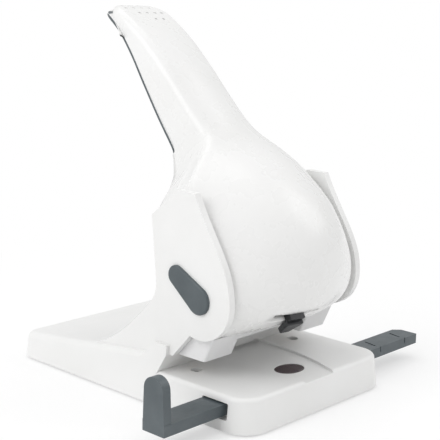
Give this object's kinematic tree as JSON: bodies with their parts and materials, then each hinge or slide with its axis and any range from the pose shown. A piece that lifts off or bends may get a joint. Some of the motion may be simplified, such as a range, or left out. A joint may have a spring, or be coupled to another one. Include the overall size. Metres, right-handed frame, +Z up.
{
  "type": "two-hole desk punch",
  "caption": "Lever-operated desk punch with a wide hooded handle on a flat base, paired punch pins, a sliding paper guide bar and a rear chip drawer.",
  "frame": {"origin": "on the desk, directly below the midpoint between the two die holes", "axes": "+X towards the right as seen by the user in front, along the paper guide; +Y from the paper side to the rear, where the arm points; +Z up"},
  "size_m": [0.213, 0.1855, 0.2116],
  "materials": {
    "white_housing": "satin white moulded shell, fine grain",
    "white_jaw": "satin white coat on cast metal",
    "white_handle": "satin white moulded shell",
    "grey_plastic": "slate grey moulding, fine grain",
    "dark_plastic": "dark grey moulding",
    "black_plastic": "near black moulding",
    "tool_steel": "ground tool steel",
    "zinc_steel": "zinc plated pressed steel",
    "screw_steel": "zinc plated screws",
    "spring_steel": "bright spring wire and strip",
    "bronze": "sintered bronze",
    "foot_rubber": "soft black rubber",
    "clear_lens": "clear moulded window"
  },
  "bodies": {
    "base": {"base_housing": "white_housing", "base_plate": "dark_plastic", "base_screws": "screw_steel", "rubber_feet": "foot_rubber", "die_plate": "tool_steel", "window_lens": "clear_lens", "guide_spring": "spring_steel", "jaw_frame": "white_jaw", "guide_bushes": "bronze", "jaw_screws": "screw_steel", "pivot_axle": "tool_steel", "axle_clips": "spring_steel", "pivot_cap_left": "grey_plastic", "pivot_cap_right": "grey_plastic", "return_spring_left": "spring_steel", "return_spring_right": "spring_steel"},
    "handle": {"handle_shell": "white_handle", "arm_channel": "zinc_steel", "grip_cover": "grey_plastic", "cover_screws": "screw_steel", "hinge_bushes": "bronze", "press_bar": "tool_steel", "press_levers": "zinc_steel"},
    "lock_slider": {"lock_slider": "black_plastic"},
    "punch_left": {"punch_pin_left": "tool_steel", "pin_cap_left": "zinc_steel"},
    "punch_right": {"punch_pin_right": "tool_steel", "pin_cap_right": "zinc_steel"},
    "paper_guide": {"paper_guide": "grey_plastic"},
    "chip_drawer": {"chip_drawer": "grey_plastic"}
  },
  "joints": [
    {"name": "handle_hinge", "type": "hinge", "parent": "base", "child": "handle", "pos_m": [0, -0.015, 0.063], "axis": [-1, 0, 0], "range_deg": [0, 50], "stiffness_Nm_per_rad": 1.8, "springref_deg": -27.5},
    {"name": "punch_left_slide", "type": "slide", "parent": "base", "child": "punch_left", "axis": [0, 0, -1], "range_m": [0, 0.014], "deforming": ["return_spring_left"]},
    {"name": "punch_right_slide", "type": "slide", "parent": "base", "child": "punch_right", "axis": [0, 0, -1], "range_m": [0, 0.014], "deforming": ["return_spring_right"]},
    {"name": "lock_slide", "type": "slide", "parent": "handle", "child": "lock_slider", "axis": [-0.978, 0.2085, 0], "range_m": [0, 0.007]},
    {"name": "guide_slide", "type": "slide", "parent": "base", "child": "paper_guide", "axis": [1, 0, 0], "range_m": [-0.07, 0.034]},
    {"name": "drawer_slide", "type": "slide", "parent": "base", "child": "chip_drawer", "axis": [0, 1, 0], "range_m": [0, 0.07]}
  ],
  "couplings": [
    {"joint": "punch_left_slide", "follows": "handle_hinge", "m_per_rad": 0.01603},
    {"joint": "punch_right_slide", "follows": "handle_hinge", "m_per_rad": 0.01603}
  ]
}
